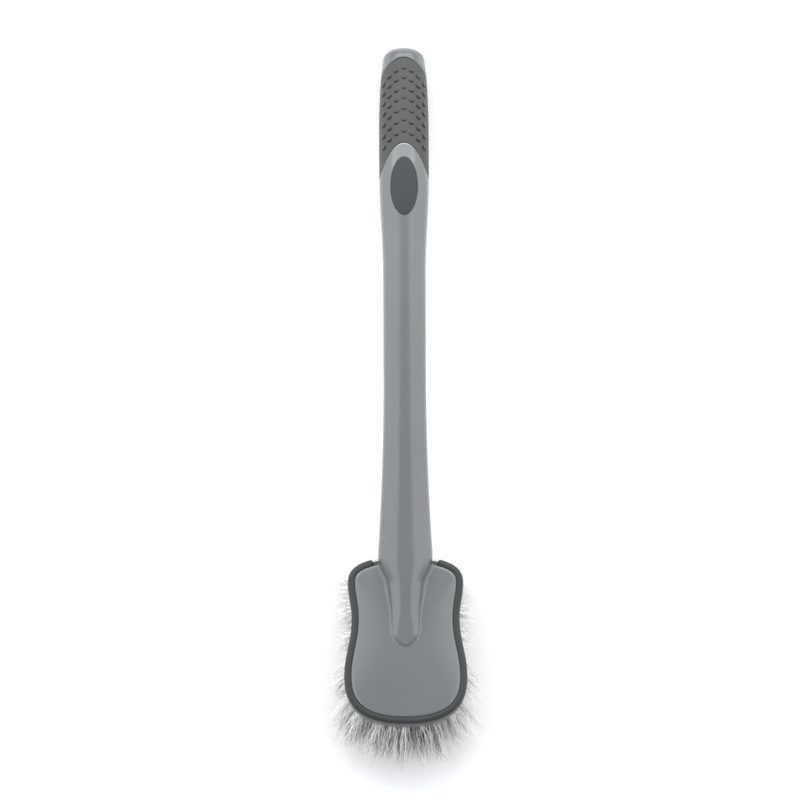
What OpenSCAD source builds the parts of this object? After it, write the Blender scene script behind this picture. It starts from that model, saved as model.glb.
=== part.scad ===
// Wheel brush: a tufted head on a long hollow handle with a soft grip.
//
// The brush is designed in the head's own frame: x runs across the head, y runs from the head's
// front edge towards the end of the handle, and z runs up from the plane of the bristle tips.
// It is then laid to rest on a floor, on its rear bristles and the end of its handle.
// The origin is under the middle of the resting brush, at floor level. Millimetres and degrees.

/* [Head outline] */
// Length of the head from its front edge to its rear edge
head_l = 118.5; // [105:0.5:140]
// Width of the head at its widest place
head_w = 86.2; // [72:0.2:102]
// Distance of the widest place from the front edge
wide_y = 33.5; // [27:0.5:41]
// Width of the head at its waist
waist_w = 75.6; // [64:0.2:88]
// Distance of the waist from the front edge
waist_y = 75; // [66:0.5:84]
// Width of the head at its rear shoulders
shoulder_w = 80.8; // [68:0.2:94]
// Distance of the shoulders from the front edge
shoulder_y = 100.5; // [92:0.5:104]
// How far the front edge runs out flat before it turns down the side
front_flat = 34; // [26:0.5:38]
// How far the front corner reaches down the side
front_corner = 18.5; // [12:0.5:24]
// How long the side bends on each side of the waist
side_bend = 16; // [8:0.5:18]
// How long the side bends between the waist and the shoulders
shoulder_bend = 9; // [5:0.5:12]
// How far the rear corner reaches past the shoulders
rear_corner = 11; // [7:0.5:13]
// How far the rear edge runs out flat before it turns the corner
rear_flat = 30; // [25:0.5:33]

/* [Head plate and bumper] */
// Wall of the moulded shells
wall = 2.6; // [2:0.1:3.4]
// Rise of the domed plate above its rim
dome_rise = 2; // [1:0.2:6]
// Width of the bevel round the plate's rim
rim_bevel = 0.7; // [0.3:0.1:1.2]
// Width of the soft bumper, seen from above
bumper_w = 4.8; // [3.6:0.1:6]
// Height of the soft bumper
bumper_h = 10.6; // [8:0.2:14]
// How far the plate's rim stands above the bumper
rim_proud = 0.5; // [0:0.1:1.5]
// Gap between the handle and each end of the bumper
bumper_clear = 3.3; // [2:0.1:6]

/* [Bristle block] */
// Thickness of the block that holds the bristles
block_t = 10; // [9:0.5:14]
// How far the block stays inside the head's outline
block_inset = 0.4; // [0.2:0.1:1]
// Height of the plug that locates the block inside the head
plug_h = 4; // [2:0.5:6]
// Gap between the plug and the wall round it
plug_gap = 0.3; // [0.2:0.05:0.6]

/* [Bristles] */
// Free length of the bristles, from the block down to their tips
bristle_l = 34; // [26:0.5:44]
// Number of rows of tufts along the head
row_count = 13; // [9:1:15]
// Distance between the tufts of one row
tuft_pitch = 8.2; // [7.6:0.1:10]
// Distance of the outer tufts from the head's edge
edge_margin = 8.6; // [8:0.1:11]
// Radius of the hole that holds a tuft
hole_r = 2.1; // [1.6:0.1:2.4]
// Depth of the hole that holds a tuft
hole_depth = 6.5; // [5:0.5:7.5]
// Radius of a tuft at its tips
tip_r = 3.9; // [2.6:0.1:4.2]
// How much wider the tips stand than the holes, across the head
splay_across = 1.42; // [1.25:0.01:1.5]
// How much further apart the tips stand than the holes, along the head
splay_along = 1.32; // [1.2:0.01:1.4]
// How far the front row's tips stand ahead of their holes
front_lead = 24; // [16:0.5:28]
// Thickness of the metal anchor in each hole
anchor_t = 0.3; // [0.2:0.05:0.5]
// Height of the metal anchor in each hole
anchor_h = 2; // [1.2:0.1:2.6]

/* [Handle line] */
// Where the raised ridge starts on the plate, from the head's front edge
ridge_y = 55; // [50:0.5:64]
// Height of the handle's middle line above the top of the block, where the ridge starts
ridge_z = 0.1; // [-1:0.1:2.5]
// Angle at which the handle rises from the head
rise_angle = 9; // [6:0.5:13]
// Length over which the handle keeps its rising direction
rise_reach = 150; // [120:1:180]
// Distance of the handle's end from the head's front edge
end_y = 475; // [400:1:560]
// Height of the handle's end above the top of the block
end_z = 20; // [8:0.5:32]
// Angle at which the handle's end points down
drop_angle = 23; // [12:0.5:30]
// Length over which the handle's end keeps its direction
drop_reach = 130; // [100:1:160]

/* [Handle section] */
// Width of the ridge at its rounded front
ridge_tip_w = 18.6; // [15:0.2:22]
// Width of the ridge where it starts to flare
ridge_w = 26.6; // [22:0.2:32]
// Width of the handle where it leaves the head
root_w = 38.4; // [34:0.2:41]
// Thickness of the handle at the head
root_t = 28; // [24:0.2:32]
// Width of the slender neck
neck_w = 30.1; // [25:0.1:34]
// Thickness of the slender neck
neck_t = 27; // [22:0.2:31]
// Width of the grip
grip_w = 34.8; // [31:0.2:41]
// Thickness of the grip
grip_t = 32; // [27:0.2:37]
// Width of the handle at its end
end_w = 30.2; // [26:0.2:34]
// Thickness of the handle at its end
end_t = 29; // [24:0.2:33]
// Squareness of the section: 2 is an ellipse, and more is squarer
squareness = 2.4; // [2:0.1:3]
// Length over which the handle's end is rounded
end_round = 9; // [6:0.5:14]
// Length over which the ridge's front is rounded
ridge_round = 13; // [8:0.5:16]
// Distance from the head's rear edge to the place where the neck gets its full slenderness
neck_run = 117; // [90:1:130]
// Distance back from the handle's end to the place where the neck starts to swell
swell_back = 160; // [140:1:175]
// Distance back from the handle's end to the place where the grip is full
full_back = 94; // [80:1:105]
// Distance back from the handle's end to the place where the grip starts to taper
taper_back = 58; // [40:1:70]
// Length over which the ridge widens to the handle at the head's rear edge
flare_l = 15; // [10:0.5:20]

/* [Grip] */
// Thickness of the soft sleeve
sleeve_t = 2.2; // [1.4:0.1:2.8]
// Distance back from the handle's end to the sleeve's far edge, on top
sleeve_end_back = 11.6; // [9.5:0.1:16]
// How far the sleeve's far edge leans back from the top to the side
sleeve_end_lean = 9.5; // [4:0.5:16]
// Distance back from the handle's end to the sleeve's near edge, on top
sleeve_start_back = 72.6; // [62:0.2:78]
// How far the sleeve's near edge leans back from the top to the side
sleeve_start_lean = 22; // [14:0.5:30]
// How much further the sleeve's edges lean from the side to the underside, as a share of the lean above
under_lean = 0.4; // [0.1:0.05:0.6]
// Width of the oval thumb pad
pad_w = 19.4; // [15:0.2:22]
// Length of the oval thumb pad
pad_l = 40.2; // [34:0.2:44]
// Thickness of the oval thumb pad
pad_t = 0.8; // [0.5:0.1:1.2]
// Distance back from the handle's end to the middle of the thumb pad
pad_back = 102.4; // [98:0.2:108]

/* [Hidden] */
curve_steps = 9;
section_steps = 24;
pad_steps = 24;
part_gap = 0.4;
row_names = [for (i = [1 : row_count]) str("bristle_row_", i < 10 ? "0" : "", i)];
shell_nodes = ["head_cover", "front_shell", "back_shell", "grip_sleeve", "thumb_pad", "head_bumper",
               "bristle_block"];

block_z = bristle_l;
seat_z = block_z + block_t;
rim_z = seat_z + bumper_h + rim_proud;
skirt_inset = bumper_w;
skirt_inner = skirt_inset + wall;
// Half the gap in the bumper where the handle leaves the head
bumper_gap = root_w / 2 + bumper_clear;

// ---------------------------------------------------------------- curves
function bezier(p, t) =
    pow(1 - t, 3) * p[0] + 3 * pow(1 - t, 2) * t * p[1] + 3 * (1 - t) * t * t * p[2] + pow(t, 3) * p[3];
function bezier_way(p, t) =
    pow(1 - t, 2) * (p[1] - p[0]) + 2 * (1 - t) * t * (p[2] - p[1]) + t * t * (p[3] - p[2]);
function unit(v) = v / norm(v);
function blend(a, b, s) = a + (b - a) * s;
function ease(s) = let (c = min(max(s, 0), 1)) c * c * (3 - 2 * c);
function signed_pow(v, e) = sign(v) * pow(abs(v), e);

// ---------------------------------------------------------------- head outline
// The right half of the outline, from the middle of the front edge to the middle of the rear edge.
half_curves = [
    [[0, 0], [front_flat, 0], [head_w / 2, wide_y - front_corner], [head_w / 2, wide_y]],
    [[head_w / 2, wide_y], [head_w / 2, wide_y + side_bend],
     [waist_w / 2, waist_y - side_bend], [waist_w / 2, waist_y]],
    [[waist_w / 2, waist_y], [waist_w / 2, waist_y + shoulder_bend],
     [shoulder_w / 2, shoulder_y - shoulder_bend], [shoulder_w / 2, shoulder_y]],
    [[shoulder_w / 2, shoulder_y], [shoulder_w / 2, shoulder_y + rear_corner],
     [rear_flat, head_l], [0, head_l]],
];
// A point on that half, a distance inside the outline. s runs from 0 to 4.
function half_point(s, inset) =
    let (i = min(floor(s), 3), t = s - i, way = unit(bezier_way(half_curves[i], t)))
    bezier(half_curves[i], t) + inset * [-way[1], way[0]];
half_places = [for (i = [0 : 4 * curve_steps]) i / curve_steps];
function half_outline(inset) = [for (s = half_places) half_point(s, inset)];
function mirrored(points) = [for (i = [len(points) - 2 : -1 : 1]) [-points[i][0], points[i][1]]];
function outline(inset) = let (half = half_outline(inset)) concat(half, mirrored(half));
// Half the width inside the outline at a distance from the front edge.
function half_room(y, inset) = lookup(y, [for (p = half_outline(inset)) [p[1], p[0]]]);
function raised(points, z) = [for (p = points) [p[0], p[1], z]];

// ---------------------------------------------------------------- handle line and section
line_start = [ridge_y, seat_z + ridge_z];
line_end = [end_y, seat_z + end_z];
handle_line = [
    line_start,
    line_start + rise_reach * [cos(rise_angle), sin(rise_angle)],
    line_end + drop_reach * [-cos(drop_angle), sin(drop_angle)],
    line_end,
];
root_y = head_l + part_gap;
neck_y = root_y + neck_run;
swell_y = end_y - swell_back;
full_y = end_y - full_back;
taper_y = end_y - taper_back;
round_y = end_y - end_round;
prow_y = ridge_y + ridge_round;

// The place along the handle's line at a distance y, found by halving.
function line_place(y, low = 0, high = 1, tries = 22) =
    tries == 0 ? (low + high) / 2
    : let (mid = (low + high) / 2)
      bezier(handle_line, mid)[0] < y ? line_place(y, mid, high, tries - 1)
      : line_place(y, low, mid, tries - 1);

// A size of the section along the handle, from its values at the named places.
function along(y, ridge, root, neck, grip, tail) =
    y < root_y ? blend(ridge, root, ease((y - root_y + flare_l) / flare_l))
    : y < neck_y ? neck + (root - neck) * pow(1 - (y - root_y) / neck_run, 1.8)
    : y < taper_y ? blend(neck, grip, ease((y - swell_y) / (full_y - swell_y)))
    : blend(grip, tail, pow(min((y - taper_y) / (round_y - taper_y), 1), 1.8));
// Both ends of the handle are rounded.
function end_factor(y) =
    y > round_y ? sqrt(max(0, 1 - pow((y - round_y) / end_round, 2)))
    : y < prow_y ? sqrt(max(0, 1 - pow((prow_y - y) / ridge_round, 2)))
    : 1;
function ridge_width(y) = blend(ridge_tip_w, ridge_w, (y - ridge_y) / (root_y - flare_l - ridge_y));
function half_width(y) = along(y, ridge_width(y), root_w, neck_w, grip_w, end_w) / 2 * end_factor(y);
function half_depth(y) =
    along(y, root_t, root_t, neck_t, grip_t, end_t) / 2 * (y > round_y ? end_factor(y) : 1);

// A point on the handle's surface: y along it, turn round it from the right side over the top,
// and grow outwards from the surface.
function handle_point(y, turn, grow) =
    let (t = line_place(y), c = bezier(handle_line, t), way = unit(bezier_way(handle_line, t)),
         e = 2 / squareness,
         across = (half_width(y) + grow) * signed_pow(cos(turn), e),
         up = (half_depth(y) + grow) * signed_pow(sin(turn), e))
    [across, c[0] - up * way[1], c[1] + up * way[0]];
function turns(n) = [for (k = [0 : n - 1]) 360 * k / n];
function handle_ring(y, grow) = [for (turn = turns(section_steps)) handle_point(y, turn, grow)];
function line_point(y) = let (c = bezier(handle_line, line_place(y))) [0, c[0], c[1]];

// ---------------------------------------------------------------- surfaces
// A closed surface through rings of points, each ring as long as the next. Two poles close its
// ends, and with no poles the last ring joins the first.
module skin(rings, poles = []) {
    n = len(rings[0]);
    m = len(rings);
    looped = len(poles) == 0;
    sides = [for (i = [0 : looped ? m - 1 : m - 2], k = [0 : n - 1])
        let (next = ((i + 1) % m) * n, j = (k + 1) % n)
        each [[i * n + k, i * n + j, next + j], [i * n + k, next + j, next + k]]];
    first_cap = looped ? [] : [for (k = [0 : n - 1]) [(k + 1) % n, k, m * n]];
    last_ring = (m - 1) * n;
    last_cap = looped ? [] : [for (k = [0 : n - 1]) [last_ring + k, last_ring + (k + 1) % n, m * n + 1]];
    polyhedron(concat([for (r = rings) each r], poles), concat(sides, first_cap, last_cap));
}

// A wall between two sheets of points with as many rows and columns; its edges are closed.
module walled(outer, inner) {
    m = len(outer);
    n = len(outer[0]);
    all_points = concat([for (r = outer) each r], [for (r = inner) each r]);
    function at(i, k, sheet) = sheet * m * n + i * n + k;
    function quad(a, b, c, d) = [[a, b, c], [a, c, d]];
    sheets = [for (i = [0 : m - 2], k = [0 : n - 2]) each concat(
        quad(at(i, k, 0), at(i, k + 1, 0), at(i + 1, k + 1, 0), at(i + 1, k, 0)),
        quad(at(i, k, 1), at(i + 1, k, 1), at(i + 1, k + 1, 1), at(i, k + 1, 1)))];
    long_edges = [for (i = [0 : m - 2]) each concat(
        quad(at(i, 0, 0), at(i + 1, 0, 0), at(i + 1, 0, 1), at(i, 0, 1)),
        quad(at(i, n - 1, 0), at(i, n - 1, 1), at(i + 1, n - 1, 1), at(i + 1, n - 1, 0)))];
    short_edges = [for (k = [0 : n - 2]) each concat(
        quad(at(0, k, 0), at(0, k, 1), at(0, k + 1, 1), at(0, k + 1, 0)),
        quad(at(m - 1, k, 0), at(m - 1, k + 1, 0), at(m - 1, k + 1, 1), at(m - 1, k, 1)))];
    faces = concat(sheets, long_edges, short_edges);
    kept = [for (f = faces) if (solid_face(all_points, f)) f];
    polyhedron(all_points, kept);
}
function solid_face(points, f) =
    norm(cross(points[f[1]] - points[f[0]], points[f[2]] - points[f[0]])) > 1e-6;

// ---------------------------------------------------------------- grip
sleeve_start = end_y - sleeve_start_back;
sleeve_end = end_y - sleeve_end_back;
// How far an edge of the sleeve leans back at a turn: none on top and all of it at the sides.
function lean(turn) =
    let (level = 1 - pow(abs(cos(turn)), 4 / squareness))
    sin(turn) >= 0 ? 1 - level : 1 + under_lean * level;
function sleeve_y(turn, s) =
    blend(sleeve_start - sleeve_start_lean * lean(turn), sleeve_end - sleeve_end_lean * lean(turn), s);
sleeve_rows = 11;
module sleeve_skin(inner, outer) {
    places = [for (i = [0 : sleeve_rows]) i / sleeve_rows];
    back = [for (i = [sleeve_rows : -1 : 0]) i / sleeve_rows];
    function sleeve_ring(s, grow) =
        [for (turn = turns(section_steps)) handle_point(sleeve_y(turn, s), turn, grow)];
    skin(concat([for (s = places) sleeve_ring(s, outer)], [for (s = back) sleeve_ring(s, inner)]));
}

// One half of the hollow handle, from a distance along it to its end, with the sleeve's seat cut
// round its outside. side is 1 for the upper half and -1 for the lower one.
neck_steps = 14;
// Keeps the seat's edges clear of the sleeve.
seat_gap = 0.05;
hollow_end = round_y + 2;
tail_turns = [0, 20, 38, 54, 68, 80];
half_turns = [for (k = [0 : section_steps / 2]) 360 * k / section_steps];
function reversed(r) = [for (k = [len(r) - 1 : -1 : 0]) r[k]];
module handle_half(side, from) {
    columns = [for (turn = half_turns) side * turn];
    neck_shares = [for (i = [0 : neck_steps]) i / neck_steps];
    grip_shares = [for (i = [0 : sleeve_rows]) i / sleeve_rows];
    deep = wall + sleeve_t;
    // The front edge lies in one plane across the head.
    function start_y(turn) =
        from + half_depth(from) * signed_pow(sin(turn), 2 / squareness) * sin(rise_angle);
    function neck_place(turn, s) = blend(start_y(turn), sleeve_y(turn, 0) - seat_gap, s);
    function neck_row(s, grow) = [for (turn = columns) handle_point(neck_place(turn, s), turn, grow)];
    function grip_row(s, grow) = [for (turn = columns) handle_point(sleeve_y(turn, s), turn, grow)];
    function cap_row(grow) = [for (turn = columns) handle_point(sleeve_y(turn, 1) + seat_gap, turn, grow)];
    function tail_row(y, grow) = [for (turn = columns) handle_point(y, turn, grow)];
    function pole_row(y) = [for (turn = columns) line_point(y)];
    outer = concat(
        [for (s = neck_shares) neck_row(s, 0)],
        [for (s = grip_shares) grip_row(s, -sleeve_t)],
        [cap_row(0)],
        [for (a = tail_turns) tail_row(round_y + end_round * sin(a), 0)],
        [pole_row(end_y)]);
    inner = concat(
        [for (s = neck_shares) neck_row(s, -wall - sleeve_t * ease((s - 0.8) / 0.2))],
        [for (s = grip_shares) grip_row(s, -deep)],
        [cap_row(-deep), tail_row(hollow_end, -deep)],
        [for (a = tail_turns) pole_row(hollow_end)]);
    if (side > 0) walled(outer, inner);
    else walled([for (r = outer) reversed(r)], [for (r = inner) reversed(r)]);
}

// The point of the handle's upper side that lies over a place of the plan view.
function top_point(x, y, grow) =
    let (share = min(abs(x) / (half_width(y) + grow), 1), turn = acos(sign(x) * pow(share, squareness / 2)))
    handle_point(y, turn, grow);
pad_y = end_y - pad_back;
module pad_skin(inner, outer) {
    shares = [for (i = [1 : 4]) i / 4];
    back = [for (i = [4 : -1 : 1]) i / 4];
    function pad_ring(share, grow) =
        [for (a = turns(pad_steps))
            top_point(pad_w / 2 * share * cos(a), pad_y + pad_l / 2 * share * sin(a), grow)];
    rings = concat([for (s = shares) pad_ring(s, outer)], [for (s = back) pad_ring(s, inner)]);
    skin(rings, [top_point(0, pad_y, outer), top_point(0, pad_y, inner)]);
}

// ---------------------------------------------------------------- the pieces, in the head's frame
dome_y = head_l / 2;
// Height of the handle's upper side over a place of the plan view, where it runs onto the plate.
function ridge_top(x, y) =
    let (a = half_width(y), share = y > ridge_y && a > 0 ? min(abs(x) / a, 1) : 1)
    share < 1 ? line_point(y)[2] + half_depth(y) * pow(1 - pow(share, squareness), 1 / squareness)
    : 0;
function dome_ring(share) =
    [for (p = outline(skirt_inset + rim_bevel)) [p[0] * share, dome_y + (p[1] - dome_y) * share,
                                                rim_z + dome_rise * (1 - share * share)]];
function over_ridge(ring) = [for (p = ring) [p[0], p[1], max(p[2], ridge_top(p[0], p[1]))]];
function lowered(ring, drop) = [for (p = ring) [p[0], p[1], p[2] - drop]];
// The cover's inner wall is upright as high as the block's plug reaches.
plug_room_z = seat_z + plug_h + plug_gap;
module head_cover_body() {
    outer_shares = [0.08, 0.2, 0.32, 0.44, 0.56, 0.68, 0.8, 0.9, 1];
    inner_shares = [0.92, 0.6, 0.3];
    rings = concat(
        [for (s = outer_shares) over_ridge(dome_ring(s))],
        [over_ridge(raised(outline(skirt_inset), rim_z - rim_bevel)), raised(outline(skirt_inset), seat_z),
         raised(outline(skirt_inner), seat_z), raised(outline(skirt_inner), plug_room_z)],
        [for (s = inner_shares) lowered(dome_ring(s), wall)]);
    skin(rings, [[0, dome_y, rim_z + dome_rise], [0, dome_y, rim_z + dome_rise - wall]]);
}
module front_shell_body() {
    handle_half(1, head_l - skirt_inset + part_gap);
}

module back_shell_body() {
    handle_half(-1, root_y + part_gap);
}

// The bumper's section: distance inside the outline, and height above the block's top.
bumper_round = 2.4;
bumper_section = concat(
    [[bumper_w, 0], [0.5, 0], [0, 1.2]],
    [for (a = [0, 30, 60, 90]) [bumper_round * (1 - cos(a)), bumper_h - bumper_round * (1 - sin(a))]],
    [[bumper_w, bumper_h - 0.3]]);
// Places along the half outline that the bumper covers, up to the gap for the handle.
bumper_places = [for (s = half_places) if (s < 3 || half_point(s, bumper_w)[0] > bumper_gap) s];
function bumper_ring(s, side) =
    [for (q = bumper_section) let (p = half_point(s, q[0])) [side * p[0], p[1], seat_z + q[1]]];
module head_bumper_body() {
    count = len(bumper_places);
    left = [for (i = [count - 1 : -1 : 1]) bumper_ring(bumper_places[i], -1)];
    right = [for (s = bumper_places) bumper_ring(s, 1)];
    end_s = bumper_places[count - 1];
    p = half_point(end_s, bumper_w / 2);
    skin(concat(left, right),
         [[-p[0], p[1], seat_z + bumper_h / 2], [p[0], p[1], seat_z + bumper_h / 2]]);
}

// ---------------------------------------------------------------- bristles
first_row_y = edge_margin;
last_row_y = head_l - edge_margin;
function row_y(i) = blend(first_row_y, last_row_y, (i - 1) / (row_count - 1));
// Odd rows hold an odd number of tufts and even rows an even number, so the rows are staggered.
function tuft_number(i) =
    let (room = max(half_room(row_y(i), edge_margin), half_room(row_y(i), 0) * 0.55),
         most = floor(2 * room / tuft_pitch) + 1)
    most % 2 == i % 2 ? most : most - 1;
function row_mouths(i) =
    let (n = tuft_number(i)) [for (k = [0 : n - 1]) [(k - (n - 1) / 2) * tuft_pitch, row_y(i), block_z]];
// Where the tips of the tuft in a hole stand.
function tip_of(mouth) =
    [mouth[0] * splay_across, first_row_y - front_lead + (mouth[1] - first_row_y) * splay_along, 0];
module along_tuft(mouth) {
    way = tip_of(mouth) - mouth;
    translate(mouth) rotate([0, acos(way[2] / norm(way)), atan2(way[1], way[0])]) children();
}
module tuft_hole(mouth) {
    along_tuft(mouth) translate([0, 0, -hole_depth]) cylinder(h = hole_depth + 6, r = hole_r, $fn = 32);
}
module anchor(mouth, extra) {
    along_tuft(mouth)
        translate([0, 0, -hole_depth + anchor_h / 2])
            cube([2 * hole_r - 0.4 + extra, anchor_t + extra, anchor_h + extra], center = true);
}
module tuft(mouth) {
    reach = norm(tip_of(mouth) - mouth);
    intersection() {
        difference() {
            union() {
                along_tuft(mouth)
                    translate([0, 0, -hole_depth]) cylinder(h = hole_depth, r = hole_r, $fn = 24);
                along_tuft(mouth) cylinder(h = reach + 4, r1 = hole_r, r2 = tip_r, $fn = 24);
            }
            anchor(mouth, 0.02);
        }
        translate([mouth[0] * splay_across - 40, mouth[1] - 80, 0]) cube([80, 160, seat_z]);
    }
}

module bristle_block_body() {
    difference() {
        union() {
            translate([0, 0, block_z]) linear_extrude(block_t) polygon(outline(block_inset));
            translate([0, 0, seat_z]) linear_extrude(plug_h) polygon(outline(skirt_inner + plug_gap));
        }
        for (i = [1 : row_count], mouth = row_mouths(i)) tuft_hole(mouth);
    }
}

// ---------------------------------------------------------------- lying on the floor
tail_ys = concat([blend(taper_y, round_y, 0.5)], [for (a = tail_turns) round_y + end_round * sin(a)]);
tail_points = [for (y = tail_ys) each handle_ring(y, 0)];
tip_points = [for (i = [1, row_count], mouth = row_mouths(i)) tip_of(mouth)];
tip_edge = tip_r / cos(atan2(front_lead, bristle_l));
rear_tip_y = max([for (p = tip_points) p[1]]) + tip_edge;
front_tip_y = min([for (p = tip_points) p[1]]) - tip_edge;
// How far the handle's end stays above the rear tips when the brush is tipped back by an angle.
function end_clearance(a) =
    min([for (p = tail_points) p[2] * cos(a) - p[1] * sin(a)]) + rear_tip_y * sin(a);
function rest_angle(low, high, tries) =
    tries == 0 ? (low + high) / 2
    : let (mid = (low + high) / 2)
      end_clearance(mid) > 0 ? rest_angle(mid, high, tries - 1) : rest_angle(low, mid, tries - 1);
tip_back = rest_angle(0, 25, 24);
front_reach = front_tip_y * cos(tip_back);
end_reach = max([for (p = tail_points) p[1] * cos(tip_back) + p[2] * sin(tip_back)]);
module laid() {
    translate([0, -(front_reach + end_reach) / 2, rear_tip_y * sin(tip_back)])
        rotate([-tip_back, 0, 0]) children();
}

// ---------------------------------------------------------------- the pieces, laid on the floor
module head_cover() {
    color([0.56, 0.59, 0.59]) laid() head_cover_body();
}
module front_shell() {
    color([0.56, 0.59, 0.59]) laid() front_shell_body();
}
module back_shell() {
    color([0.53, 0.56, 0.56]) laid() back_shell_body();
}
module grip_sleeve() {
    color([0.33, 0.34, 0.34]) laid() sleeve_skin(-sleeve_t, 0);
}
module thumb_pad() {
    color([0.28, 0.31, 0.33]) laid() pad_skin(0, pad_t);
}
module head_bumper() {
    color([0.27, 0.29, 0.29]) laid() head_bumper_body();
}
module bristle_block() {
    color([0.5, 0.52, 0.52]) laid() bristle_block_body();
}
module bristle_row(i) {
    color([0.8, 0.8, 0.79]) laid() for (mouth = row_mouths(i)) tuft(mouth);
}
module tuft_anchors() {
    color([0.75, 0.72, 0.6]) laid() for (i = [1 : row_count], mouth = row_mouths(i)) anchor(mouth, 0);
}

head_cover();
front_shell();
back_shell();
grip_sleeve();
thumb_pad();
head_bumper();
bristle_block();
for (i = [1 : row_count]) {
    bristle_row(i);
}
tuft_anchors();
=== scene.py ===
"""Looks of the wheel brush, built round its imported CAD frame.

Sizes are millimetres in the head's own frame: x across the head, y from the head's front edge
towards the end of the handle, z up from the plane of the bristle tips. Each finished mesh is laid
to rest on the floor and scaled to metres, where the frame holds it.
"""

import logging
import math
from dataclasses import dataclass, field
from enum import Enum
from typing import Callable

import bmesh
import bpy
import numpy as np
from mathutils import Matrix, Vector

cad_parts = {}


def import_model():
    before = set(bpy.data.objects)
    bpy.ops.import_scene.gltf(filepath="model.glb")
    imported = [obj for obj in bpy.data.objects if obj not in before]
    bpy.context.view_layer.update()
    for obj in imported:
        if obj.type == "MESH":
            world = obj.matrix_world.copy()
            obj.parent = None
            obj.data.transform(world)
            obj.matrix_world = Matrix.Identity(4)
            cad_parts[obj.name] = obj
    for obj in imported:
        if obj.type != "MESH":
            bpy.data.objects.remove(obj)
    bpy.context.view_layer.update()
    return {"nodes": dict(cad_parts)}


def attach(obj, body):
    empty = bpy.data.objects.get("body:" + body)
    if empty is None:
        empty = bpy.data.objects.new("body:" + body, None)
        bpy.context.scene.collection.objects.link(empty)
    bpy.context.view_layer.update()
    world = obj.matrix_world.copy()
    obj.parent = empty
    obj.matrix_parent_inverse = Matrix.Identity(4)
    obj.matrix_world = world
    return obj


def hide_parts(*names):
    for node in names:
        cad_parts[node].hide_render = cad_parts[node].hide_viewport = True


LOG = logging.getLogger("wheel_brush")
MM = 0.001


class Slot(Enum):
    """The record's material slots."""

    GREY_PLASTIC = "grey_plastic"
    GRIP_RUBBER = "grip_rubber"
    PAD_RUBBER = "pad_rubber"
    BUMPER_RUBBER = "bumper_rubber"
    BLOCK_PLASTIC = "block_plastic"
    BRISTLE = "bristle"
    ANCHOR_WIRE = "anchor_wire"


# ------------------------------------------------------------------ curves and forms


def ease(share: np.ndarray) -> np.ndarray:
    """A smooth step from 0 to 1, held outside that range."""
    c = np.clip(share, 0.0, 1.0)
    return c * c * (3 - 2 * c)


def signed_power(value: np.ndarray, exponent: float) -> np.ndarray:
    """The power of a value's size, with the value's sign."""
    return np.sign(value) * np.abs(value) ** exponent


def bezier(points: np.ndarray, t: np.ndarray) -> np.ndarray:
    """Points of a cubic curve at the shares t."""
    t = np.asarray(t, float)[..., None]
    return (
        (1 - t) ** 3 * points[0]
        + 3 * (1 - t) ** 2 * t * points[1]
        + 3 * (1 - t) * t**2 * points[2]
        + t**3 * points[3]
    )


def bezier_way(points: np.ndarray, t: np.ndarray) -> np.ndarray:
    """Unit directions of a cubic curve at the shares t."""
    t = np.asarray(t, float)[..., None]
    way = (
        (1 - t) ** 2 * (points[1] - points[0])
        + 2 * (1 - t) * t * (points[2] - points[1])
        + t**2 * (points[3] - points[2])
    )
    return way / np.linalg.norm(way, axis=-1, keepdims=True)


def smooth_lowest(a: np.ndarray, b: np.ndarray, reach: np.ndarray | float) -> np.ndarray:
    """The lower of two fields, rounded off where they come within reach of each other."""
    h = np.maximum(reach - np.abs(a - b), 0) / reach
    return np.minimum(a, b) - h**3 * reach / 6


def smooth_highest(a: np.ndarray, b: np.ndarray, reach: np.ndarray | float) -> np.ndarray:
    """The higher of two fields, rounded off where they come within reach of each other."""
    return -smooth_lowest(-a, -b, reach)


@dataclass(frozen=True)
class RestPose:
    """How the brush lies: tipped back onto its rear bristles and the end of its handle."""

    tip_back: float = math.radians(8.95751)
    shift: float = -231.057
    lift: float = 19.165

    def laid(self, points: np.ndarray) -> np.ndarray:
        """Points of the head's frame, laid on the floor in metres."""
        c, s = math.cos(self.tip_back), math.sin(self.tip_back)
        p = np.asarray(points, float)
        y, z = p[..., 1], p[..., 2]
        return np.stack([p[..., 0], y * c + z * s + self.shift, z * c - y * s + self.lift], -1) * MM


POSE = RestPose()


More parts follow.
